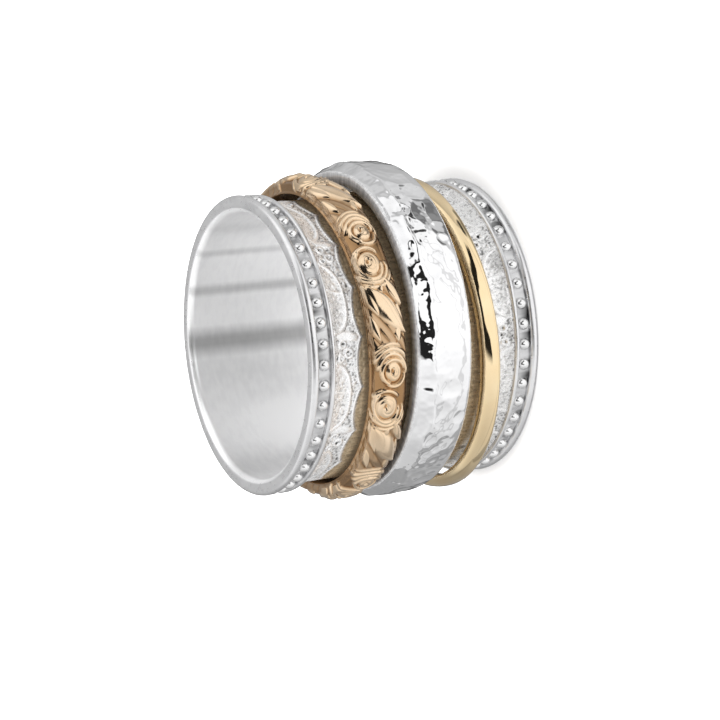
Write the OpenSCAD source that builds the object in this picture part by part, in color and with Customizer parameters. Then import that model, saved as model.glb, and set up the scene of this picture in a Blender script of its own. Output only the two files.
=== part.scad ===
// Spinner ring: a wide cast silver band with three loose rings that turn on it.
// The band's axis is Z and it lies on its side: the far rim is on Z = 0, the near rim on top.
// Angles are counted from +X, the side that faces the viewer, towards +Y.

/* [Band] */
// Inside diameter of the band, where the finger goes
finger_d = 18; // [16:0.1:20]
// Full width of the band, from rim to rim
band_w = 16.9; // [16:0.1:19]
// Wall between the finger hole and the ground of the ornament
wall_t = 0.45; // [0.4:0.05:0.8]
// Height of the rims over the ground of the ornament
rim_h = 0.7; // [0.65:0.05:0.9]
// Width of the rounded rim at each end
rim_w = 0.5; // [0.4:0.05:0.7]
// Rounding between the finger hole and each end face
comfort_r = 0.45; // [0.3:0.05:0.5]
// Width of the groove that holds the beads
groove_w = 0.91; // [0.85:0.01:1.1]
// Height of the groove's floor over the ground of the ornament
groove_h = 0.27; // [0.2:0.01:0.35]
// Thickness of the raised wire beside each groove
wire_w = 0.3; // [0.2:0.05:0.4]
// Height of the wire over the ground of the ornament
wire_h = 0.65; // [0.55:0.01:0.65]
// Width of the curve that rises from the ground to each wire
flare_w = 1.3; // [1:0.05:1.4]
// Height of that curve where it meets the wire
flare_h = 0.4; // [0.3:0.05:0.45]

/* [Beads] */
// Diameter of each round bead in the grooves
bead_d = 0.76; // [0.6:0.02:0.8]
// Number of beads round each groove
bead_n = 45; // [36:1:52]
// Angle of the first bead, counted from +X
bead_start = -2; // [-5:0.5:5]

/* [Cast ornament] */
// Height of the raised ornament on the band
relief_h = 0.1; // [0.05:0.01:0.12]
// Number of lobes along each wire
lobe_n = 9; // [7:1:10]
// Length of one lobe along the wire
lobe_l = 4.7; // [3.6:0.1:4.8]
// Reach of a lobe from the wire
lobe_reach = 1.5; // [1.3:0.05:1.8]
// Width of a lobe's raised outline and of its vein
line_w = 0.26; // [0.2:0.02:0.32]
// Number of ribs in the fan between two lobes
fan_n = 4; // [3:1:5]
// Reach of the fans from the wire
fan_reach = 1.8; // [1.5:0.05:1.9]
// Width of one rib of a fan
rib_w = 0.24; // [0.18:0.02:0.3]
// Angle of the first lobe's middle, counted from +X
lobe_start = -9; // [-180:0.5:180]

/* [Loose rings] */
// Free room, in millimetres of radius, of the flowered ring round the ornament
floral_play = 0.35; // [0.3:0.05:0.45]
// Free room of the hammered ring round the ornament
hammered_play = 0.5; // [0.4:0.05:0.5]
// Free room of the plain gold ring round the ornament
plain_play = 0.4; // [0.3:0.05:0.45]
// Width of the flowered ring
floral_w = 2.6; // [2.4:0.1:3]
// Thickness of the flowered ring at its middle, between the flowers
floral_t = 1; // [0.9:0.05:1.2]
// Width of the hammered ring
hammered_w = 3.9; // [3.4:0.1:4.2]
// Thickness of the hammered ring at its middle
hammered_t = 1.4; // [1.2:0.05:1.6]
// Width of the plain gold ring
plain_w = 1.3; // [1.2:0.1:1.6]
// Thickness of the plain gold ring at its middle
plain_t = 0.85; // [0.6:0.05:0.95]
// Lean of the flowered ring, its top towards the near end
floral_lean = 2.3; // [0:0.1:2.5]
// Lean of the hammered ring, its top towards the near end
hammered_lean = 0.5; // [0:0.1:1]
// Lean of the plain gold ring, its top towards the near end
plain_lean = 3; // [0:0.5:3.5]

/* [Flowers and hammer marks] */
// Number of pairs of roses round the flowered ring
rose_pairs = 7; // [5:1:8]
// Diameter of one rose
rose_d = 2.1; // [1.8:0.1:2.3]
// Distance between the two roses of a pair
rose_gap = 2.5; // [2.3:0.1:3]
// Height of the roses and leaves over the ring's ground
flower_h = 0.25; // [0.15:0.01:0.3]
// Angle of the middle of the first pair of roses
rose_start = -5; // [-180:0.5:180]
// Number of hammer marks on the hammered ring
dent_n = 110; // [60:5:160]
// Diameter of a hammer mark
dent_d = 2.2; // [1.6:0.1:2.6]
// Depth of the deepest hammer marks
dent_h = 0.16; // [0.05:0.01:0.2]

/* [Hidden] */
$fn = 96;
half_w = band_w / 2;
bore_r = finger_d / 2;
ground_r = bore_r + wall_t;
top_r = ground_r + relief_h;
rim_r = ground_r + rim_h;
floor_r = ground_r + groove_h;
wire_r = ground_r + wire_h;
flare_r = ground_r + flare_h;
// Places along the band, counted from its middle
groove_out = half_w - rim_w;
groove_in = groove_out - groove_w;
field_end = groove_in - wire_w;
flare_start = field_end - flare_w;
// The free room along the band is shared out round the loose rings, from the near end
room = 2 * field_end - floral_w - hammered_w - plain_w;
room_shares = [0.43, 0.088, 0.23];
floral_mid = field_end - room_shares[0] * room - floral_w / 2;
hammered_mid = floral_mid - (floral_w + hammered_w) / 2 - room_shares[1] * room;
plain_mid = hammered_mid - (hammered_w + plain_w) / 2 - room_shares[2] * room;
// Each loose ring hangs to one side of the band by a share of its free room
side_shares = [0.43, 0.8, -0.68];
floral_in = top_r + floral_play;
hammered_in = top_r + hammered_play;
plain_in = top_r + plain_play;
floral_off = side_shares[0] * floral_play;
hammered_off = side_shares[1] * hammered_play;
plain_off = side_shares[2] * plain_play;
// Thickness of the domed rings at their edges
floral_edge = 0.35;
hammered_edge = 1;
// How deep the raised ornament is rooted in the band
sink = 0.15;
// How far a cutter runs past the face that it cuts
cut = 1;

// Points of an arc from angle a to angle b
function arc(c, r, a, b, n) =
    [for (i = [0:n]) c + r * [cos(a + (b - a) * i / n), sin(a + (b - a) * i / n)]];

// Outline of one half of the band's section, radius first, from the middle to the end face
function flare_arc_r() = (flare_w * flare_w + flare_h * flare_h) / (2 * flare_h);
function flare_angle() = asin(flare_w / flare_arc_r());
function flare_line(lift) =
    arc([ground_r + flare_arc_r() + lift, flare_start], flare_arc_r(), 180, 180 - flare_angle(), 4);
function half_section() = concat(
    flare_line(0),
    arc([wire_r - wire_w / 2, groove_in - wire_w / 2], wire_w / 2, -90, 90, 8),
    [[floor_r, groove_in], [floor_r, groove_out]],
    arc([rim_r - rim_w / 2, half_w - rim_w / 2], rim_w / 2, -90, 90, 8),
    arc([bore_r + comfort_r, half_w - comfort_r], comfort_r, 90, 180, 6));

module whole_section() {
    half = half_section();
    polygon(concat(half, [for (i = [len(half) - 1:-1:0]) [half[i][0], -half[i][1]]]));
}

// One row of round beads in a groove
module bead_row(height) {
    for (i = [0:bead_n - 1])
        rotate(bead_start + 360 * i / bead_n)
            translate([floor_r, 0, height])
                rotate([0, 90, 0])
                    sphere(d = bead_d, $fn = 24);
}

// Skin that lies on the ground beside one wire, as thick as the ornament is high
module ornament_skin() {
    inner = ground_r - sink;
    start = field_end - fan_reach - line_w;
    rotate_extrude()
        polygon(concat([[inner, start], [top_r, start]], flare_line(relief_h), [[inner, field_end]]));
}

// Half oval that stands on the wire, leaning a little to one side
module half_oval(length, reach) {
    lean = 0.18;
    polygon([for (i = [0:12]) let (a = 180 * i / 12)
        [length / 2 * cos(a) + lean * reach * sin(a), reach * sin(a)]]);
}

// Outline of one lobe with its vein
module lobe_outline() {
    difference() {
        half_oval(lobe_l, lobe_reach);
        half_oval(lobe_l - 2 * line_w, lobe_reach - line_w);
    }
    translate([0, lobe_reach / 2])
        rotate(-22)
            square([line_w * 0.8, lobe_reach - line_w], center = true);
}

// Ribs of the fan that fills the space between two lobes
module fan_outline() {
    spread = 17;
    hub = -0.9;
    for (i = [0:fan_n - 1])
        translate([0, hub])
            rotate(spread * (i - (fan_n - 1) / 2))
                translate([-rib_w / 2, -hub])
                    square([rib_w, fan_reach]);
}

// A flat outline stood on the band's side at an angle, its foot on one wire
module on_field(angle) {
    rotate(angle)
        translate([ground_r - sink, 0, 0])
            rotate([90, 0, 90])
                linear_extrude(relief_h + flare_h + 2 * sink)
                    translate([0, field_end])
                        mirror([0, 1])
                            children();
}

// Raised border of lobes and fans along the near wire
module border() {
    intersection() {
        ornament_skin();
        for (i = [0:lobe_n - 1]) {
            on_field(lobe_start + 360 * i / lobe_n) lobe_outline();
            on_field(lobe_start + 360 * (i + 0.5) / lobe_n) fan_outline();
        }
    }
}

// Section of a domed ring: how far a point at share s of the width stands out from the bore
function dome(s, edge, thick, power) =
    edge + (thick - edge) * sqrt(max(0, 1 - pow(abs(2 * s - 1), power)));

// A loose ring set on the band, drawn from its lower face up, then shifted and leaned
module on_band(off, mid, width, lean) {
    translate([0, off, half_w + mid])
        rotate([lean, 0, 0])
            translate([0, 0, -width / 2])
                children();
}

// Solid ring whose outside follows heights[row][column], with a true round hole
module shaped_ring(inner, width, rows, columns, points) {
    difference() {
        polyhedron(
            points = points,
            faces = concat(
                [[for (j = [0:columns - 1]) columns - 1 - j]],
                [[for (j = [0:columns - 1]) (rows - 1) * columns + j]],
                [for (i = [0:rows - 2], j = [0:columns - 1]) let (k = (j + 1) % columns)
                    each [[i * columns + j, i * columns + k, (i + 1) * columns + k],
                          [i * columns + j, (i + 1) * columns + k, (i + 1) * columns + j]]]),
            convexity = 6);
        translate([0, 0, -cut])
            cylinder(r = inner, h = width + 2 * cut);
    }
}

// Height of the flowers at x along the ring and y across it, in millimetres
function bump(x, y, cx, cy, length, width, turn) =
    let (p = ((x - cx) * cos(turn) + (y - cy) * sin(turn)) / (length / 2),
         q = ((y - cy) * cos(turn) - (x - cx) * sin(turn)) / (width / 2))
    max(0, 1 - p * p - q * q);
function rose(x, y, cx, cy) =
    let (d = norm([x - cx, y - cy]) / (rose_d / 2), eye = 0.22)
    d > 1 ? 0 : (1 - 0.35 * d * d) * min(1, 6 * (1 - d)) - 0.5 * exp(-pow(d / eye, 2));
function leaves(x, y, pitch) =
    let (c = pitch / 2)
    max(bump(x, y, c - 0.1, 0.4, 3.7, 1.15, 33),
        bump(x, y, c + 1, -0.38, 2.8, 1, 38),
        bump(x, y, c - 0.9, 0.98, 2, 0.5, 16),
        bump(x, y, c - 1.25, -0.55, 1.2, 0.5, -6),
        bump(x, y, c - 0.2, -0.95, 2, 0.5, 12));
function flowers(x, y, pitch) =
    max(rose(x, y, rose_gap / 2, 0.05), rose(x, y, -rose_gap / 2, 0.3),
        rose(x, y, pitch - rose_gap / 2, 0.3), 0.8 * leaves(x, y, pitch), 0.8 * leaves(x, y, -pitch));

// Cast band with its beads, wires and raised border, all one piece of metal
module band() {
    color("silver")
        translate([0, 0, half_w]) {
            rotate_extrude()
                whole_section();
            bead_row((groove_in + groove_out) / 2);
            bead_row(-(groove_in + groove_out) / 2);
            border();
            mirror([0, 0, 1]) border();
        }
}

// Flowered ring: pairs of roses with pointed leaves between them
module floral_ring() {
    rows = 13;
    steps = 32;
    columns = rose_pairs * steps;
    crest_r = floral_in + floral_t;
    pitch = 2 * PI * crest_r / rose_pairs;
    points = [for (i = [0:rows - 1], j = [0:columns - 1])
        let (s = (1 - cos(180 * i / (rows - 1))) / 2,
             x = pitch * ((j % steps) / steps > 0.5 ? (j % steps) / steps - 1 : (j % steps) / steps),
             y = (s - 0.5) * floral_w,
             r = floral_in + dome(s, floral_edge, floral_t, 2) + flower_h * sin(180 * s) * flowers(x, y, pitch),
             a = rose_start + 360 * j / columns)
        [r * cos(a), r * sin(a), s * floral_w]];
    color([0.82, 0.62, 0.44])
        on_band(floral_off, floral_mid, floral_w, floral_lean)
            shaped_ring(floral_in, floral_w, rows, columns, points);
}

// Depth of the hammer marks at angle a and height z
function dents(a, z, marks, crest_r) =
    max([for (m = marks)
        let (turn = (a - m[0] + 540) % 360 - 180,
             d = norm([turn * PI / 180 * crest_r, z - m[1]]) / (dent_d / 2))
        d > 1 ? 0 : m[2] * (1 - d * d)]);

// Hammered ring: the widest one, domed, with soft marks all round
module hammered_ring() {
    rows = 12;
    columns = 144;
    crest_r = hammered_in + hammered_t;
    angles = rands(0, 360, dent_n, 11);
    heights = rands(0.08, 0.92, dent_n, 12);
    depths = rands(0.35, 1, dent_n, 13);
    marks = [for (i = [0:dent_n - 1]) [angles[i], heights[i] * hammered_w, depths[i]]];
    points = [for (i = [0:rows - 1], j = [0:columns - 1])
        let (s = (1 - cos(180 * i / (rows - 1))) / 2,
             a = 360 * j / columns,
             r = hammered_in + dome(s, hammered_edge, hammered_t, 2.4)
                 - dent_h * sin(180 * s) * dents(a, s * hammered_w, marks, crest_r))
        [r * cos(a), r * sin(a), s * hammered_w]];
    color([0.9, 0.9, 0.92])
        on_band(hammered_off, hammered_mid, hammered_w, hammered_lean)
            shaped_ring(hammered_in, hammered_w, rows, columns, points);
}

// Plain gold ring: thin, polished, flat inside and crowned outside, with well rounded shoulders
module plain_gold_ring() {
    steps = 18;
    side = 0.12;
    shoulder = 3.4;
    outside = [for (i = [0:steps])
        let (across = -cos(180 * i / steps))
        [plain_in + side + (plain_t - side) * pow(max(0, 1 - pow(abs(across), shoulder)), 1 / shoulder),
         (1 + across) * plain_w / 2]];
    color([0.94, 0.8, 0.52])
        on_band(plain_off, plain_mid, plain_w, plain_lean)
            rotate_extrude()
                polygon(concat([[plain_in, plain_w], [plain_in, 0]], outside));
}

band();
floral_ring();
hammered_ring();
plain_gold_ring();
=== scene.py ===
import math

import bpy
import numpy as np
from mathutils import Matrix, Vector


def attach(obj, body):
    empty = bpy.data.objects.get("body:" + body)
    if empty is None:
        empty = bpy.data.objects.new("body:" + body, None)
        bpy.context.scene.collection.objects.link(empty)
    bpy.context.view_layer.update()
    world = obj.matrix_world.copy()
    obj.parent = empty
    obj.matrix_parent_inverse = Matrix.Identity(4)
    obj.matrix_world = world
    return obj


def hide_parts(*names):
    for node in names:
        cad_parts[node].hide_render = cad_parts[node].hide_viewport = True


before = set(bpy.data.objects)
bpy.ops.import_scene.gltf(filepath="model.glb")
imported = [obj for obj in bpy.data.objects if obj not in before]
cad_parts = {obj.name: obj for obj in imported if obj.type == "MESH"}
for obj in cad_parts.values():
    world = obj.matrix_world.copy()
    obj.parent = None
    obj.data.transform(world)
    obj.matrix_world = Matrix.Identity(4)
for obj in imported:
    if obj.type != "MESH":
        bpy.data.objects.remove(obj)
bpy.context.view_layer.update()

mm = 0.001
scene = bpy.context.scene
bpy.ops.object.select_all(action="DESELECT")

# Camera: a long lens 22 cm from the ring, which lies on its far rim. The camera looks at the side of
# the band and a little into its upper end, and it is turned so that the band's axis runs across the picture.
band_middle = 8.45
camera_away = 221.3
side_turn, side_tilt, lean = math.radians(27.98), math.radians(14.17), math.radians(-1.60)
look = Vector((-math.cos(side_turn) * math.cos(side_tilt), -math.sin(side_tilt),
               -math.sin(side_turn) * math.cos(side_tilt)))
across = Vector((math.sin(side_turn), 0, -math.cos(side_turn)))
upward = Vector((-math.cos(side_turn) * math.sin(side_tilt), math.cos(side_tilt),
                 -math.sin(side_turn) * math.sin(side_tilt)))
picture_right = math.cos(lean) * across - math.sin(lean) * upward
picture_up = math.sin(lean) * across + math.cos(lean) * upward
camera_data = bpy.data.cameras.new("camera")
camera_data.lens = 161.7
camera_data.sensor_width = 36
camera_data.shift_x = 0.0047
camera_data.shift_y = -0.0351
camera_data.clip_start = 0.005
camera_data.clip_end = 20
camera = bpy.data.objects.new("camera", camera_data)
scene.collection.objects.link(camera)
turned = Matrix((picture_right, picture_up, -look)).transposed().to_4x4()
aim = Vector((0, 0, band_middle * mm))
camera.matrix_world = Matrix.Translation(aim - look * camera_away * mm) @ turned
scene.camera = camera

# Band: one casting in sterling silver. Its finger hole is satin, both ends are rolled over into a
# polished rim, and a groove for the beads runs between each rim and a fine raised wire.
bore_r, hole_edge_r = 9.0, 0.45
core_r = 9.30
rim_r, rim_centre, rim_flat = 0.25, 9.90, (9.6, 9.75)
groove_r, groove_low, groove_high, groove_corner = 9.72, 7.04, 7.95, 0.06
wire_r, wire_centre, wire_height = 0.15, 9.95, 6.89
seat_half = 3.4


def arc_points(centre, radius, start, end, steps):
    """Points of an arc in the section, radius first and height second."""
    angles = np.radians(np.linspace(start, end, steps + 1))
    return [(centre[0] + radius * math.cos(a), centre[1] + radius * math.sin(a)) for a in angles]


def turn_section(name, section, steps):
    """A closed ring: a closed section is spun through a twelfth of a turn, copied round and merged."""
    sectors = 12
    bpy.ops.object.select_all(action="DESELECT")
    bpy.ops.mesh.primitive_circle_add(vertices=len(section), radius=mm)
    ring = bpy.context.object
    ring.name = ring.data.name = name
    ring.data.vertices.foreach_set("co", np.array([(r * mm, 0, z * mm) for r, z in section]).ravel())
    bpy.ops.object.mode_set(mode="EDIT")
    bpy.ops.mesh.select_all(action="SELECT")
    bpy.ops.mesh.spin(steps=steps // sectors, angle=2 * math.pi / sectors, center=(0, 0, 0), axis=(0, 0, 1))
    bpy.ops.object.mode_set(mode="OBJECT")
    for k in range(1, sectors):
        sector = bpy.data.objects.new(f"{name}_{k}", ring.data.copy())
        sector.data.transform(Matrix.Rotation(2 * math.pi * k / sectors, 4, "Z"))
        scene.collection.objects.link(sector)
        sector.select_set(True)
    ring.select_set(True)
    bpy.context.view_layer.objects.active = ring
    bpy.ops.object.join()
    bpy.ops.object.mode_set(mode="EDIT")
    bpy.ops.mesh.select_all(action="SELECT")
    bpy.ops.mesh.remove_doubles(threshold=1e-7)
    bpy.ops.mesh.normals_make_consistent(inside=False)
    bpy.ops.object.mode_set(mode="OBJECT")
    bpy.ops.object.shade_smooth()
    ring.select_set(False)
    return ring


def half_band():
    """Upper half of the band's section, from the middle of the bore to the middle of the seat."""
    end = band_middle
    hole_top = end - hole_edge_r
    rows = [(bore_r, z) for z in np.linspace(0, hole_top, 9)]
    rows += arc_points((bore_r + hole_edge_r, hole_top), hole_edge_r, 180, 90, 12)[1:]
    rows += [(r, end) for r in rim_flat]
    rows += arc_points((rim_centre, end - rim_r), rim_r, 90, -90, 18)
    corner = groove_r + groove_corner
    rows += arc_points((corner, groove_high - groove_corner), groove_corner, 90, 180, 3)
    rows += arc_points((corner, groove_low + groove_corner), groove_corner, 180, 270, 3)
    rows += arc_points((wire_centre, wire_height), wire_r, 90, -90, 14)
    rows += [(core_r, wire_height - wire_r), (core_r, seat_half)]
    return rows


upper = half_band()
band_section = upper + [(r, -z) for r, z in reversed(upper[1:])]
band_section = [(r, z + band_middle) for r, z in band_section]
band_body = turn_section("band_body", band_section, 288)
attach(band_body, "band")
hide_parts("band")



def fine_marks():
    """Shared effect: soft cloudy tone and fine polishing marks on any metal."""
    group = bpy.data.node_groups.new("fine_marks", "ShaderNodeTree")
    face = group.interface
    face.new_socket("Vector", in_out="INPUT", socket_type="NodeSocketVector")
    face.new_socket("Cloud Size", in_out="INPUT", socket_type="NodeSocketFloat")
    face.new_socket("Grain Size", in_out="INPUT", socket_type="NodeSocketFloat")
    face.new_socket("Cloud", in_out="OUTPUT", socket_type="NodeSocketFloat")
    face.new_socket("Grain", in_out="OUTPUT", socket_type="NodeSocketFloat")
    entry, leave = group.nodes.new("NodeGroupInput"), group.nodes.new("NodeGroupOutput")
    for label, size, detail in (("Cloud", "Cloud Size", 3.0), ("Grain", "Grain Size", 2.0)):
        noise = group.nodes.new("ShaderNodeTexNoise")
        noise.inputs["Detail"].default_value = detail
        group.links.new(entry.outputs["Vector"], noise.inputs["Vector"])
        group.links.new(entry.outputs[size], noise.inputs["Scale"])
        group.links.new(noise.outputs["Fac"], leave.inputs[label])
    return group


marks_group = fine_marks()


def link(tree, source, target):
    tree.links.new(source, target)


def map_range(tree, value, low, high, to_low, to_high):
    """Carries the range from low to high over to the range from to_low to to_high."""
    node = tree.nodes.new("ShaderNodeMapRange")
    node.inputs["From Min"].default_value = low
    node.inputs["From Max"].default_value = high
    node.inputs["To Min"].default_value = to_low
    node.inputs["To Max"].default_value = to_high
    link(tree, value, node.inputs["Value"])
    return node.outputs["Result"]


def blend_colours(tree, factor, first, second):
    """The first colour where the factor is 0 and the second where it is 1."""
    node = tree.nodes.new("ShaderNodeMix")
    node.data_type = "RGBA"
    node.inputs["A"].default_value = (*first, 1)
    node.inputs["B"].default_value = (*second, 1)
    link(tree, factor, node.inputs["Factor"])
    return node.outputs["Result"]


def metal(name, light, dark, roughness, cloud, grain, bump, stretch=(1, 1, 1), patina_and_painted_light=False):
    """A metal with cloudy tone and fine marks. With the painted layer, the colour of tarnish and painted
    light and the dullness are added.
    """
    material = bpy.data.materials.new(name)
    material.use_nodes = True
    tree = material.node_tree
    shader = tree.nodes["Principled BSDF"]
    shader.inputs["Metallic"].default_value = 1.0
    place = tree.nodes.new("ShaderNodeTexCoord")
    mapping = tree.nodes.new("ShaderNodeMapping")
    mapping.inputs["Scale"].default_value = stretch
    link(tree, place.outputs["Object"], mapping.inputs["Vector"])
    fine = tree.nodes.new("ShaderNodeGroup")
    fine.node_tree = marks_group
    fine.inputs["Cloud Size"].default_value = cloud
    fine.inputs["Grain Size"].default_value = grain
    link(tree, mapping.outputs["Vector"], fine.inputs["Vector"])
    cloudy = map_range(tree, fine.outputs["Cloud"], 0.35, 0.65, 0, 1)
    tone = blend_colours(tree, cloudy, light, dark)
    if patina_and_painted_light:
        stain = tree.nodes.new("ShaderNodeAttribute")
        stain.attribute_name = "patina_and_painted_light"
        mix = tree.nodes.new("ShaderNodeMix")
        mix.data_type = "RGBA"
        mix.blend_type = "MULTIPLY"
        mix.inputs["Factor"].default_value = 1.0
        link(tree, tone, mix.inputs["A"])
        link(tree, stain.outputs["Color"], mix.inputs["B"])
        tone = mix.outputs["Result"]
        link(tree, map_range(tree, stain.outputs["Alpha"], 0, 1, 0.1, 1.0), shader.inputs["Metallic"])
    link(tree, tone, shader.inputs["Base Color"])
    link(tree, map_range(tree, fine.outputs["Grain"], 0.3, 0.7, *roughness), shader.inputs["Roughness"])
    relief = tree.nodes.new("ShaderNodeBump")
    relief.inputs["Strength"].default_value = 1.0
    relief.inputs["Distance"].default_value = bump * mm
    link(tree, fine.outputs["Grain"], relief.inputs["Height"])
    link(tree, relief.outputs["Normal"], shader.inputs["Normal"])
    return material


def paint_patina_and_light(ring, colour, shine):
    """Lays colour on the vertices, tarnish and painted light that multiply the metal's, and how metallic it
    stays.
    """
    layer = ring.data.attributes.new("patina_and_painted_light", "FLOAT_COLOR", "POINT")
    layer.data.foreach_set("color", np.column_stack([colour, shine]).astype(np.float32).ravel())


# Satin silver in the finger hole, and polished silver on the rims, beads and wires
polished_band = metal("polished_cast_silver", light=(0.95, 0.95, 0.955), dark=(0.87, 0.87, 0.88),
                      roughness=(0.26, 0.36), cloud=600, grain=3000, bump=0.0008, patina_and_painted_light=True)
polished_beads = metal("polished_silver_beads", light=(0.95, 0.95, 0.95), dark=(0.88, 0.88, 0.88),
                       roughness=(0.16, 0.24), cloud=600, grain=5000, bump=0.001)
satin_bore = metal("satin_silver", light=(1.0, 1.0, 1.0), dark=(0.93, 0.93, 0.935), roughness=(0.30, 0.40),
                   cloud=2600, grain=9000, bump=0.004, stretch=(0.4, 0.4, 1), patina_and_painted_light=True)
band_body.data.materials.append(polished_band)
band_body.data.materials.append(satin_bore)
hole_edge = (bore_r + 0.16) * mm
in_bore = [int(math.hypot(f.center.x, f.center.y) < hole_edge) for f in band_body.data.polygons]
band_body.data.polygons.foreach_set("material_index", in_bore)


def vertex_places(ring):
    """Each vertex's place and radius in millimetres, and its angle in degrees."""
    co = np.zeros(len(ring.data.vertices) * 3)
    ring.data.vertices.foreach_get("co", co)
    co = co.reshape(-1, 3) / mm
    return co, np.hypot(co[:, 0], co[:, 1]), np.degrees(np.arctan2(co[:, 1], co[:, 0]))


def value_noise(x, y, seed):
    """Smooth random heights from 0 to 1 on a grid of whole numbers."""
    table = np.random.default_rng(seed).random((64, 64))
    xi, yi = np.floor(x).astype(int), np.floor(y).astype(int)
    fx, fy = x - xi, y - yi
    fx, fy = fx * fx * (3 - 2 * fx), fy * fy * (3 - 2 * fy)
    a, b = table[xi % 64, yi % 64], table[(xi + 1) % 64, yi % 64]
    c, d = table[xi % 64, (yi + 1) % 64], table[(xi + 1) % 64, (yi + 1) % 64]
    return (a * (1 - fx) + b * fx) * (1 - fy) + (c * (1 - fx) + d * fx) * fy


# Painted reflections: long grey stripes along the finger hole, at fixed angles: angle, half width and depth
painted_reflection_stripes = ((149, 2.2, 0.25), (168.8, 2.6, 0.36), (192.4, 5.6, 0.52), (204, 8, 0.10), (215, 9, 0.06),
                 (131, 5, 0.12), (262, 14, 0.16), (310, 20, 0.15), (20, 25, 0.1), (80, 20, 0.15))
co, radius, angle = vertex_places(band_body)
angle = angle % 360
from_middle = np.abs(co[:, 2] - band_middle)
hole_painted_light = np.full(len(co), 1.02)
for middle, half, depth in painted_reflection_stripes:
    away = np.abs((angle - middle + 180) % 360 - 180)
    hole_painted_light = hole_painted_light - depth * np.clip(1.3 - away / half, 0, 1)
# A painted highlight: one bright stripe along the finger hole, fading towards its upper end
painted_highlight_stripe = np.exp(-((angle - 236) / 11) ** 2) * np.clip((13.5 - co[:, 2]) / 4, 0, 1)
hole_painted_light = hole_painted_light + 0.22 * painted_highlight_stripe
hole_painted_light = np.clip(hole_painted_light, 0.3, 1.15)
# Speckled tarnish on the floor of the groove, with painted dark reflections as spots along the rim
speckle = value_noise(angle / 1.1, co[:, 2] / 0.16, 41)
painted_reflection_spots = np.clip((value_noise(angle / 3.2, co[:, 2], 43) - 0.45) / 0.2, 0, 1)
by_rim = np.clip((from_middle - groove_high + 0.4) / 0.2, 0, 1)
groove_tone = 0.92 - 0.34 * speckle - 0.6 * painted_reflection_spots * by_rim
above_wire = from_middle > groove_low - 0.09
in_groove = (np.abs(radius - groove_r) < 0.12) & above_wire & (from_middle < groove_high)
in_hole = radius < bore_r + 0.3
tone = np.where(in_hole, hole_painted_light, np.where(in_groove, groove_tone, 0.97))
paint_patina_and_light(band_body, np.repeat(tone[:, None], 3, axis=1), np.where(in_hole, 0.75, 1.0))

# Ornament: the cast field between the two wires, with a raised border of lobes, leaves and scrolls
# along each wire and short ribs between them. It is part of the casting and dark in its low places.
ground_r, sleeve_in = 9.45, 9.28
flare_start, flare_end, flare_arc = 5.44, wire_height - wire_r, 2.3125
lobe_count, lobe_first = 9, -9.0
mm_per_degree = math.radians(1) * 9.5
relief_height = 0.11
stipple_size, pit_size = 0.13, 0.085


def field_radius(z):
    """Radius of the bare field at height z from the band's middle."""
    rise = np.clip(np.abs(z), flare_start, flare_end) - flare_start
    return ground_r + flare_arc - np.sqrt(flare_arc ** 2 - rise ** 2)


def ridge(distance, half_width):
    """Height of a round ridge, at a distance from its middle line."""
    return np.sqrt(np.clip(1 - (distance / half_width) ** 2, 0, 1))


def dome(x, y, cx, cy, half_length, half_width, turn):
    """Height from 0 to 1 of an oval boss, turned by an angle in degrees."""
    c, s = math.cos(math.radians(turn)), math.sin(math.radians(turn))
    p = ((x - cx) * c + (y - cy) * s) / half_length
    q = ((y - cy) * c - (x - cx) * s) / half_width
    return np.sqrt(np.clip(1 - p * p - q * q, 0, 1))


def stroke(x, y, ax, ay, bx, by, half_width):
    """Height of a straight rounded ridge from a to b."""
    t = np.clip(((x - ax) * (bx - ax) + (y - ay) * (by - ay)) / ((bx - ax) ** 2 + (by - ay) ** 2), 0, 1)
    return ridge(np.hypot(x - ax - t * (bx - ax), y - ay - t * (by - ay)), half_width)


def scallop_line(angle):
    """Distance down from the wire of the scalloped second line below the lobes."""
    return 2.19 - 0.42 * np.abs(np.cos(np.pi * (angle + 15) / 20)) ** 0.7


def border_height(angle, down):
    """Height from 0 to 1 of the border, at an angle in degrees and a distance down from the wire."""
    pitch = 360 / lobe_count
    local = (angle - lobe_first + pitch / 2) % pitch - pitch / 2
    x = local * mm_per_degree
    half, reach, power = 2.42, 1.46, 2.5

    def lobe(x, down):
        """Below 0 inside a lobe: a squarish oval that hangs from the wire and leans a little."""
        leaned = x + 0.16 * (down - 0.7)
        return (np.abs(leaned / half) ** power + np.abs(down / reach) ** power) ** (1 / power) - 1

    step = 0.02
    slope = np.hypot((lobe(x + step, down) - lobe(x - step, down)) / (2 * step),
                     (lobe(x, down + step) - lobe(x, down - step)) / (2 * step)) + 1e-6
    edge = lobe(x, down) / slope
    stipple = value_noise(angle * mm_per_degree / stipple_size, down / stipple_size, 3)
    height = np.where(edge < 0, 0.28 + 0.34 * stipple, 0.10 + 0.35 * stipple)
    height = np.maximum(height, 0.95 * ridge(edge + 0.10, 0.17))
    height = np.maximum(height, np.where(edge < 0, 0.9 * stroke(x, down, 0.55, 0.15, 0.30, 1.35, 0.13), 0))
    # Leaf and scrolls between two lobes
    between = ((angle - lobe_first) % pitch - pitch / 2) * mm_per_degree
    height = np.maximum(height, dome(between, down, 0.78, 1.22, 0.95, 0.36, 97))
    for cx, cy, curl in ((-0.35, 1.22, 0.27), (0.28, 0.76, 0.24), (-0.62, 0.62, 0.2)):
        away = np.hypot(between - cx, down - cy)
        height = np.maximum(height, 0.95 * ridge(away - curl, 0.11))
        height = np.where(away < curl - 0.1, np.minimum(height, 0.05), height)
    height = np.maximum(height, np.where(down > 1.2, 0.8 * ridge(down - scallop_line(angle), 0.12), 0))
    return height


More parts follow.
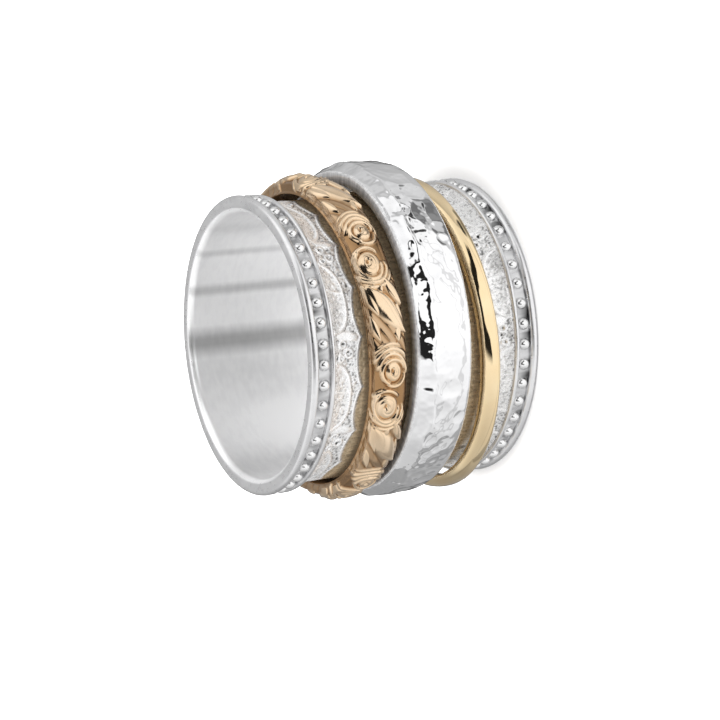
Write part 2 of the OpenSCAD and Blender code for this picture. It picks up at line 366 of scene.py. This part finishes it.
def field_height(angle, z):
    """Relief of the whole field: a border along each wire and ribs between them."""
    down = flare_end - np.abs(z)
    border = border_height(angle, down)
    rib_waves, border_width = 78, 2.25
    sway = 1.6 * value_noise(angle * 0.35, z * 1.2, 9) + 0.9 * value_noise(angle * 1.1, z * 3, 10)
    ribs = 0.25 + 0.4 * np.abs(np.cos(np.radians(angle * rib_waves) + 2.2 * sway + z * 1.2)) ** 0.8
    ribs = ribs * (0.55 + 0.45 * value_noise(angle * 1.4, z * 4, 8))
    share = np.clip((down - border_width) / 0.1, 0, 1)
    height = border * (1 - share) + ribs * share
    return height * np.clip(down / 0.12, 0, 1)


def ornament_sleeve(name, heights):
    """A sleeve of the field with its relief raised vertex by vertex and its tarnish and painted light laid
    on.
    """
    heights = np.array(heights)
    outer = [(float(field_radius(z)), z) for z in heights]
    section = outer + [(sleeve_in, heights[-1]), (sleeve_in, heights[0])]
    sleeve = turn_section(name, [(r, z + band_middle) for r, z in section], 1080)
    mesh = sleeve.data
    co, radius, angle = vertex_places(sleeve)
    z = co[:, 2] - band_middle
    height = field_height(angle, z)
    outside = radius > sleeve_in + 0.12
    # The middle of the casting, which the hammered ring covers, is thicker on its upper side
    added_wall, covered_half, covered_middle, thickest_at = 0.26, 1.5, -0.7, 100
    covered = np.clip((covered_half - np.abs(z - covered_middle)) / 0.4, 0, 1)
    thicker = np.clip(np.cos(np.radians(angle - thickest_at)), 0, 1) ** 0.5
    lift = np.where(outside, relief_height * height + added_wall * covered * thicker, 0)
    co[:, :2] *= ((radius + lift) / radius)[:, None]
    mesh.vertices.foreach_set("co", (co * mm).ravel())
    mesh.update()
    # The border is bright with grey pits; the ribs, under and beside the loose rings, get a brown painted
    # reflection of the gold with painted shade low down
    border_share = np.clip((scallop_line(angle) + 0.22 - (flare_end - np.abs(z))) / 0.14, 0, 1)[:, None]
    pits = value_noise(angle * mm_per_degree / pit_size, z / pit_size, 31)
    pits = np.clip((pits - 0.56) / 0.16, 0, 1)
    grey = 1 - np.clip(0.62 - height, 0, 0.55)[:, None] * (0.25 + 1.7 * pits[:, None])
    painted_gold_reflection_and_shade = np.array([0.66, 0.52, 0.34]) * (0.45 + 0.75 * height[:, None])
    paint_patina_and_light(sleeve, painted_gold_reflection_and_shade * (1 - border_share) + grey * border_share, 0.25 + 0.3 * border_share[:, 0])
    return sleeve


# Rows of points down each sleeve: close where its relief shows, wide under the loose rings
near_rows = np.concatenate([np.linspace(6.80, 4.30, 46), np.linspace(4.0, 1.9, 6), np.linspace(1.6, 0.9, 11),
                            [0.4]])
far_rows = np.concatenate([[0.4, -0.4, -1.2, -2.0], np.linspace(-2.5, -4.05, 24), [-4.4, -4.8],
                           np.linspace(-5.1, -6.80, 32)])
# Cast silver that carries the ornament's grey pits and its painted reflection and shade
silver_with_tarnish_and_painted_light = metal("cast_silver_with_tarnish_and_painted_light", light=(0.96, 0.96, 0.96), dark=(0.88, 0.88, 0.88),
                  roughness=(0.24, 0.38), cloud=700, grain=6000, bump=0.003, patina_and_painted_light=True)
for name, rows in (("near_ornament", near_rows), ("far_ornament", far_rows)):
    sleeve = ornament_sleeve(name, rows)
    sleeve.data.materials.append(silver_with_tarnish_and_painted_light)
    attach(sleeve, "band")

# Beads: 45 round grains in each of the two grooves. They are raised in the silver casting, each a
# little unlike the next, and burnished by hand.
bead_count, bead_first, bead_r, bead_circle = 45, -2.3, 0.42, 9.73
bead_height = (groove_low + groove_high) / 2


def bead_row(name, height):
    """One row of beads, at a height from the band's middle."""
    bpy.ops.object.select_all(action="DESELECT")
    bpy.ops.mesh.primitive_uv_sphere_add(segments=16, ring_count=10, radius=bead_r * mm, location=(0, 0, 0))
    bead = bpy.context.object
    shape = bead.data
    grains = []
    pick = np.random.default_rng(5 if height > 0 else 6)
    for i in range(bead_count):
        grain = shape.copy()
        turn = Matrix.Rotation(math.radians(bead_first + 360 * i / bead_count), 4, "Z")
        place = Matrix.Translation((bead_circle * mm, 0, (band_middle + height) * mm))
        size = Matrix.Diagonal((1.0, 1 + pick.uniform(-0.05, 0.04), 1 + pick.uniform(-0.05, 0.04), 1))
        grain.transform(turn @ place @ size @ Matrix.Rotation(math.pi / 2, 4, "Y"))
        piece = bpy.data.objects.new(f"{name}_{i}", grain)
        scene.collection.objects.link(piece)
        grains.append(piece)
    bpy.data.objects.remove(bead)
    for piece in grains:
        piece.select_set(True)
    bpy.context.view_layer.objects.active = grains[0]
    bpy.ops.object.join()
    row = bpy.context.object
    row.name = row.data.name = name
    bpy.ops.object.shade_smooth()
    row.select_set(False)
    return row


for name, height in (("near_beads", bead_height), ("far_beads", -bead_height)):
    row = bead_row(name, height)
    row.data.materials.append(polished_beads)
    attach(row, "band")

# Flowered ring: a loose ring cast in rose gold and polished, with seven pairs of roses and long leaves
# between them. It turns freely on the band, a little off centre and askew.
floral_in, floral_w, floral_t, floral_edge = 9.90, 2.6, 1.0, 0.35
floral_crest = floral_in + floral_t + 0.15
floral_off, floral_middle, floral_lean = 0.15, 2.998, 2.3
rose_pairs, rose_first = 7, -4.9
flower_height, side_cut = 0.30, 0.13


def even_points(inner, y, rise, count):
    """Points set evenly along the outside of a section, from its places across and its rise over the bore."""
    run = np.concatenate([[0], np.cumsum(np.hypot(np.diff(y), np.diff(rise)))])
    even = np.linspace(0, run[-1], count)
    return list(zip(inner + np.interp(even, run, rise), np.interp(even, run, y)))


def domed_section(inner, width, thick, edge, power, rows, side_rows=0):
    """Section of a loose ring: flat inside, upright sides, and evenly spaced points along its dome."""
    s = np.linspace(-1, 1, 4001)
    rise = edge + (thick - edge) * np.sqrt(np.clip(1 - np.abs(s) ** power, 0, 1))
    outside = even_points(inner, s * width / 2, rise, rows)
    chamfer = 0.05
    side = [inner + edge + (chamfer - edge) * k / (side_rows + 1) for k in range(1, side_rows + 1)]
    outside = [(r, -width / 2) for r in reversed(side)] + outside + [(r, width / 2) for r in side]
    inside = [(inner + chamfer, width / 2), (inner, width / 2 - chamfer), (inner, 0),
              (inner, chamfer - width / 2), (inner + chamfer, -width / 2)]
    return outside + inside


def set_on_band(ring, off, middle, lean):
    """Leans a ring that was turned round the origin and shifts it off centre and along the band."""
    ring.data.transform(Matrix.Translation((0, off * mm, (band_middle + middle) * mm))
                        @ Matrix.Rotation(math.radians(lean), 4, "X"))


def rose(x, y, cx, cy, heart, petals):
    """A rose: a pitted heart inside petals, each given by its radius, height and the arc that it spans."""
    dx, dy = x - cx, (y - cy) * 1.2
    away, around = np.hypot(dx, dy), np.degrees(np.arctan2(dy, dx))
    wind = (away / heart * 2.2 - around / 360) % 1
    spiral = 1 - 0.22 * np.exp(-((wind - 0.5) / 0.13) ** 2)
    height = np.sqrt(np.clip(1 - (away / heart) ** 2, 0, 1)) * spiral
    pit = np.exp(-((dx - 0.10) / 0.2) ** 2 - ((dy - 0.16) / 0.11) ** 2)
    height = height - 0.75 * pit
    for radius, half, top, middle, span in petals:
        turn = np.abs((around - middle + 180) % 360 - 180)
        reach = np.clip((span / 2 - turn) / 18, 0, 1) ** 0.5
        drift = 0.06 * np.sin(np.radians(around - middle) * 2)
        height = np.maximum(height, top * ridge(away - radius - drift, half) * reach)
    return height


def leaf(x, y, cx, cy, half_length, half_width, turn, fullness):
    """A pointed leaf: its back is round at fullness 0.5 and sloped like a roof's at 1."""
    c, s = math.cos(math.radians(turn)), math.sin(math.radians(turn))
    p = ((x - cx) * c + (y - cy) * s) / half_length
    q = ((y - cy) * c - (x - cx) * s)
    room = half_width * np.clip(1 - np.abs(p) ** 2.2, 0, 1)
    return np.clip(1 - (q / (room + 1e-6)) ** 2, 0, 1) ** fullness * (np.abs(p) < 1)


# Petals of the two roses of a pair: radius, half width, height, middle of the arc and its span
left_rose = ((1.06, 0.15, 0.80, 150, 250), (1.38, 0.17, 0.78, 190, 170), (1.72, 0.16, 0.66, 200, 110),
             (1.22, 0.15, 0.70, 10, 130))
right_rose = ((0.90, 0.16, 0.85, 40, 250), (1.22, 0.17, 0.80, 350, 190), (1.58, 0.18, 0.76, 5, 130),
              (1.02, 0.14, 0.66, 200, 130), (1.92, 0.15, 0.60, 12, 80))
# The two roses: middle along and across, radius of the heart and petals
roses = ((-1.30, 0.40, 0.92, left_rose), (1.16, 0.02, 0.72, right_rose))
# Leaves: middle along and across, half length, half width, turn, height and fullness
leaf_shapes = ((5.34, -0.04, 2.05, 0.86, 33, 1.0, 1.0), (6.45, -0.80, 1.2, 0.38, 30, 0.86, 0.5),
               (6.15, 1.0, 1.25, 0.27, 15, 0.76, 0.5), (4.2, 1.0, 0.95, 0.24, 14, 0.66, 0.5),
               (3.74, -0.55, 0.60, 0.28, -6, 0.66, 0.5), (4.75, -0.98, 1.1, 0.26, 12, 0.66, 0.5),
               (6.76, 0.15, 0.24, 0.22, 0, 0.8, 0.5))


def flower_relief(angle, y):
    """Relief of the flowered ring, at an angle in degrees and y across it, from 0 to 1."""
    pitch = 360 / rose_pairs
    local = (angle - rose_first + pitch / 2) % pitch - pitch / 2
    height = np.zeros_like(y)
    per_degree = math.radians(1) * floral_crest
    blade_turn, blade_pitch, blade_height, blade_middle, blade_reach = 0.6, 0.55, 0.26, 4.9, 3.2
    for shift in (-pitch, 0, pitch):
        x = (local - shift) * per_degree
        for cx, cy, half_length, half_width, turn, top, fullness in leaf_shapes:
            height = np.maximum(height, top * leaf(x, y, cx, cy, half_length, half_width, turn, fullness))
        slant = y * math.cos(blade_turn) - x * math.sin(blade_turn)
        blade = blade_height * np.sqrt(1 - (np.abs((slant / blade_pitch) % 1 - 0.5) * 2) ** 2)
        height = np.maximum(height, np.where(np.abs(x - blade_middle) < blade_reach, blade, 0))
        for cx, cy, heart, petals in roses:
            height = np.maximum(height, rose(x, y, cx, cy, heart, petals))
    return height


def move_outside(ring, inner, change):
    """Moves each outside vertex out along its own direction by change(angle, y), in millimetres."""
    mesh = ring.data
    co, radius, angle = vertex_places(ring)
    lift = np.where(radius > inner + 0.12, change(angle, co[:, 2]), 0)
    co[:, :2] *= ((radius + lift) / radius)[:, None]
    mesh.vertices.foreach_set("co", (co * mm).ravel())
    mesh.update()
    return lift


def flowers(angle, y):
    """Lift of the flowers in millimetres, sinking to nothing at both edges."""
    inset = np.clip((floral_w / 2 - np.abs(y)) / 0.07, 0, 1) ** 0.7
    return flower_height * flower_relief(angle, y) * inset


floral = turn_section("floral_ring_flowers",
                      domed_section(floral_in, floral_w, floral_t, floral_edge, 2.0, 72, 4), 1152)
co, radius, angle = vertex_places(floral)
# The relief runs on over the edge and down both sides, where it is cut into the metal
above_foot = np.clip((radius - floral_in - 0.06) / 0.08, 0, 1)
round_edge = np.clip((np.abs(co[:, 2]) - floral_w / 2 + 0.14) / 0.14, 0, 1) * above_foot
past_edge = np.abs(co[:, 2]) + np.clip(floral_in + floral_edge - radius, 0, 1)
on_side = flower_relief(angle, np.sign(co[:, 2]) * past_edge)
lift = move_outside(floral, floral_in, flowers)
co = vertex_places(floral)[0]
co[:, 2] -= np.sign(co[:, 2]) * side_cut * round_edge * (1 - on_side)
floral.data.vertices.foreach_set("co", (co * mm).ravel())
# Darker brown in the low places of the relief, and painted shade at the foot of the sides
shown = np.maximum(lift / flower_height, round_edge * on_side)
low = np.clip(1.15 - shown * 2, 0, 1)[:, None]
painted_foot_shade = np.clip((floral_in + 0.20 - radius) / 0.1, 0, 1)[:, None]
low = np.maximum(low, 0.9 * painted_foot_shade)
lost_light = np.array([0.56, 0.66, 0.76])
paint_patina_and_light(floral, 1 - low * lost_light, np.full(len(co), 1.0))
set_on_band(floral, floral_off, floral_middle, floral_lean)
rose_gold = metal("polished_rose_gold", light=(0.95, 0.74, 0.52), dark=(0.87, 0.65, 0.43),
                  roughness=(0.10, 0.20), cloud=500, grain=6000, bump=0.002, patina_and_painted_light=True)
floral.data.materials.append(rose_gold)
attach(floral, "floral_ring")
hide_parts("floral_ring")

# Hammered ring: the widest loose ring, silver, with upright sides. It is beaten all over with a
# round-faced hammer and then polished to a mirror, so that its soft facets break up the light.
hammered_in, hammered_w, hammered_t = 10.05, 3.9, 1.4
hammered_crest = hammered_in + hammered_t
hammered_off, hammered_middle, hammered_lean = 0.40, -0.752, 0.5
shoulder_size = 0.17
blows = np.random.default_rng(21)
blow_count = 190
golden_angle = 137.508
blow_angle = (np.arange(blow_count) * golden_angle + blows.uniform(-6, 6, blow_count)) % 360
blow_y = blows.uniform(-1.7, 1.7, blow_count)
blow_depth = blows.uniform(0.03, 0.12, blow_count)
blow_r = blows.uniform(0.45, 1.0, blow_count)
# Marks that show in the picture: angle, height, half length, half width and depth
clear_marks = ((15.8, 1.02, 0.82, 0.34, 0.05), (26.0, 0.95, 0.86, 0.34, 0.05), (42.5, 1.15, 0.5, 0.20, 0.10),
               (43.5, 0.62, 0.3, 0.16, 0.06), (51.0, 0.75, 0.6, 0.26, 0.10), (52.5, 1.35, 0.7, 0.16, 0.07),
               (57.5, 0.55, 0.3, 0.26, 0.07), (55.0, -0.55, 1.1, 0.75, 0.07),
               (62.5, 0.40, 0.5, 0.5, 0.04), (35.5, -1.15, 0.9, 0.3, 0.05), (15.5, -1.30, 1.4, 0.2, 0.04),
               (46.0, -1.45, 1.3, 0.25, 0.05), (74.0, -1.45, 1.1, 0.35, 0.05), (-45.0, 1.05, 1.2, 0.6, 0.05),
               (2.0, 0.40, 0.8, 0.26, 0.04), (3.0, 1.2, 0.9, 0.4, 0.04), (80, 0.6, 1.4, 0.9, 0.05))


def hammer_marks(angle, y):
    """Lift of the hammered face in millimetres: blows, a bevelled upper edge and a fine ripple."""
    depth = np.zeros_like(y)
    marks = [(a, cy, r, r, d) for a, cy, d, r in zip(blow_angle, blow_y, blow_depth, blow_r)]
    for a, cy, half_length, half_width, d in marks + list(clear_marks):
        dx = ((angle - a + 180) % 360 - 180) * math.radians(1) * hammered_crest
        hollow = np.clip(1 - (dx / half_length) ** 2 - ((y - cy) / half_width) ** 2, 0, 1)
        depth = np.maximum(depth, d * hollow)
    s = np.clip(y / hammered_w + 0.5, 0, 1)
    fold = 0.98 + 0.10 * np.sin(np.radians(angle * 9 + 40)) + 0.08 * np.sin(np.radians(angle * 23))
    bevel = 0.42 * np.clip(y - fold, 0, 0.75) - 0.05 * np.exp(-((y - fold + 0.1) / 0.15) ** 2)
    around = angle * 0.2
    broad, fine = 0.55, 0.26
    ripple = 0.030 * value_noise(around / broad, y / broad, 12)
    ripple = ripple + 0.020 * value_noise(around / fine, y / fine, 14)
    ripple = ripple * (1 + 1.2 * np.exp(-((y - 1.25) / 0.4) ** 2))
    return 0.05 - (depth + ripple) * np.sin(np.pi * s) ** 0.5 - bevel


hammered = turn_section("hammered_ring_facets",
                        domed_section(hammered_in, hammered_w, hammered_t, 1.0, 2.4, 76), 864)
move_outside(hammered, hammered_in, hammer_marks)
# The sides are dull and grey as cast up to the rounded shoulder; painted shade makes them darkest low down
co, radius, angle = vertex_places(hammered)
side = np.clip((np.abs(co[:, 2]) - hammered_w / 2 + shoulder_size) / 0.08, 0, 1)
side = side * np.clip((hammered_crest - shoulder_size - radius) / 0.12, 0, 1)
shade_lifts_to_shoulder = np.clip((radius - 10.5) / 0.7, 0, 1)
grey = 0.26 + 0.34 * shade_lifts_to_shoulder + 0.3 * value_noise(angle * 1.6, radius * 9, 17)
paint_patina_and_light(hammered, (1 - side * (1 - grey))[:, None] * np.ones(3), 1 - 0.75 * side)
set_on_band(hammered, hammered_off, hammered_middle, hammered_lean)
mirror_silver = metal("mirror_silver", light=(0.95, 0.95, 0.955), dark=(0.90, 0.90, 0.91),
                      roughness=(0.03, 0.07), cloud=400, grain=5000, bump=0.0006, patina_and_painted_light=True)
hammered.data.materials.append(mirror_silver)
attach(hammered, "hammered_ring")
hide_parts("hammered_ring")

# Plain gold ring: a narrow loose ring of yellow gold, bent from drawn wire with a crowned outside,
# soldered and polished. It turns freely on the band, a little low and the most askew of the three.
plain_in, plain_w, plain_t = 9.95, 1.3, 0.85
plain_off, plain_middle, plain_lean = -0.272, -4.659, 3.0


def crowned_section():
    """Section of the plain ring, with its crown towards one side and a long fall to the other."""
    s = np.linspace(-1, 1, 4001)
    crown, edge = -0.30, 0.12
    sharp = np.where(s > crown, 2.2, 3.0)
    from_crown = np.where(s > crown, (s - crown) / (1 - crown), (crown - s) / (1 + crown))
    rise = edge + (plain_t - edge) * np.clip(1 - from_crown ** sharp, 0, 1) ** (1 / sharp)
    outside = even_points(plain_in, s * plain_w / 2, rise, 36)
    chamfer = 0.05
    inside = [(plain_in, plain_w / 2 - chamfer), (plain_in, chamfer - plain_w / 2)]
    return outside + inside


plain = turn_section("plain_gold_ring_crown", crowned_section(), 384)
set_on_band(plain, plain_off, plain_middle, plain_lean)
yellow_gold = metal("polished_yellow_gold", light=(0.96, 0.78, 0.50), dark=(0.92, 0.71, 0.43),
                    roughness=(0.04, 0.10), cloud=400, grain=5000, bump=0.0008)
plain.data.materials.append(yellow_gold)
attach(plain, "plain_gold_ring")
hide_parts("plain_gold_ring")

# Floor: a plain white table under the ring, with the faintest unevenness in its tone. The camera
# sees it, and the polished metal mirrors the white tent instead.
bpy.ops.object.select_all(action="DESELECT")
bpy.ops.mesh.primitive_plane_add(size=6, location=(0, 0, -0.02 * mm))
floor = bpy.context.object
floor.name = "floor"
floor_finish = bpy.data.materials.new("white_table")
floor_finish.use_nodes = True
tree = floor_finish.node_tree
unevenness = tree.nodes.new("ShaderNodeTexNoise")
unevenness.inputs["Scale"].default_value = 3
place = tree.nodes.new("ShaderNodeTexCoord")
link(tree, place.outputs["Object"], unevenness.inputs["Vector"])
white = blend_colours(tree, unevenness.outputs["Fac"], (0.93, 0.93, 0.93), (0.95, 0.95, 0.95))
link(tree, white, tree.nodes["Principled BSDF"].inputs["Base Color"])
tree.nodes["Principled BSDF"].inputs["Roughness"].default_value = 0.9
floor.data.materials.append(floor_finish)
floor.visible_glossy = False

# Light: a white tent of large soft panels all round, with one dark gap between them that draws the
# dark streaks on the polished rings, and a round soft panel overhead.
world = bpy.data.worlds.new("soft_tent")
scene.world = world
world.use_nodes = True
tree = world.node_tree
background = tree.nodes["Background"]
place = tree.nodes.new("ShaderNodeTexCoord")
parts = tree.nodes.new("ShaderNodeSeparateXYZ")
link(tree, place.outputs["Generated"], parts.inputs["Vector"])


def maths(operation, first, second=None):
    """One step of arithmetic on numbers or sockets."""
    node = tree.nodes.new("ShaderNodeMath")
    node.operation = operation
    for socket, value in zip(node.inputs, (first, second)):
        if value is None:
            continue
        if isinstance(value, (int, float)):
            socket.default_value = value
        else:
            link(tree, value, socket)
    return node.outputs[0]


def smooth(value, low, high, to_low=0.0, to_high=1.0):
    """A soft step from to_low to to_high as the value goes from low to high."""
    node = tree.nodes.new("ShaderNodeMapRange")
    node.interpolation_type = "SMOOTHSTEP"
    for label, number in (("From Min", low), ("From Max", high), ("To Min", to_low), ("To Max", to_high)):
        node.inputs[label].default_value = number
    link(tree, value, node.inputs["Value"])
    return node.outputs["Result"]


# Directions in degrees: +Y is the picture's up, and the turn is counted from +X towards -Z
turn = maths("DEGREES", maths("ARCTAN2", maths("MULTIPLY", parts.outputs["Z"], -1), parts.outputs["X"]))
height = maths("DEGREES", maths("ARCSINE", parts.outputs["Y"]))


def curve(value, points):
    """A smooth run through points (value, result), in rising order of value."""
    result = points[0][1]
    for (low, start), (high, end) in zip(points, points[1:]):
        result = maths("ADD", smooth(value, low, high, 0, end - start), result)
    return result


def between(value, low, high, soft):
    """1 from low to high, falling to 0 over soft degrees on either side."""
    return maths("MULTIPLY", smooth(value, low - soft, low), smooth(value, high, high + soft, 1, 0))


def dim(light, where, share):
    """Takes a share of the light away where the mask is 1."""
    return maths("MULTIPLY", light, maths("SUBTRACT", 1.0, maths("MULTIPLY", where, share)))


# The tent is brightest level with the ring, and dimmer low down, overhead and at its back
level = smooth(height, -80, 5, 0.62, 1.12)
level = maths("MULTIPLY", level, smooth(height, 40, 90, 1.0, 0.8))
back = curve(turn, ((-170, 0.62), (-150, 0.5), (-134, 1.0), (80, 1.0), (150, 0.66)))
level = maths("MULTIPLY", level, back)
# The backdrop straight behind the ring is dim, which darkens every outline of the polished metal
along = [maths("MULTIPLY", parts.outputs[axis], part) for axis, part in zip("XYZ", look)]
off_centre = maths("DEGREES", maths("ARCCOSINE", maths("ADD", maths("ADD", along[0], along[1]), along[2])))
level = maths("MULTIPLY", level, curve(off_centre, ((9, 0.16), (32, 0.66), (80, 1.0))))
# Seams between the panels and two dark corners of the tent's frame
level = dim(level, between(turn, 84, 104, 8), 0.42)
level = dim(level, between(turn, 45, 49, 2), 0.25)
level = dim(level, maths("MULTIPLY", between(turn, 97, 122, 5), between(height, 26, 56, 4)), 0.7)
level = dim(level, maths("MULTIPLY", between(turn, 78, 108, 6), between(height, 65, 73, 2)), 0.9)
# The dark gap, which is wide at the ring's height and narrows upwards
gap_left = curve(height, ((0, -102), (25, -98), (42, -60), (58, -42), (72, -34)))
gap_right = curve(height, ((-8, 2), (4, -6), (13, -38), (30, -40), (42, -22), (58, 4), (72, 20)))
gap = maths("MULTIPLY", smooth(maths("SUBTRACT", turn, gap_left), -4, 4),
            smooth(maths("SUBTRACT", gap_right, turn), -2, 2))
gap = maths("MULTIPLY", gap, maths("MULTIPLY", smooth(height, -14, -5), smooth(height, 68, 75, 1, 0)))
level = dim(level, gap, 0.985)
background.inputs["Color"].default_value = (1, 1, 1, 1)
link(tree, level, background.inputs["Strength"])

fill_data = bpy.data.lights.new("overhead_panel", "AREA")
fill_data.shape = "DISK"
fill_data.size = 1.2
fill_data.energy = 30
fill = bpy.data.objects.new("overhead_panel", fill_data)
fill.location = (0.1, 0.0, 1.2)
fill.visible_glossy = False
scene.collection.objects.link(fill)

scene.view_settings.view_transform = "Standard"
scene.view_settings.look = "None"
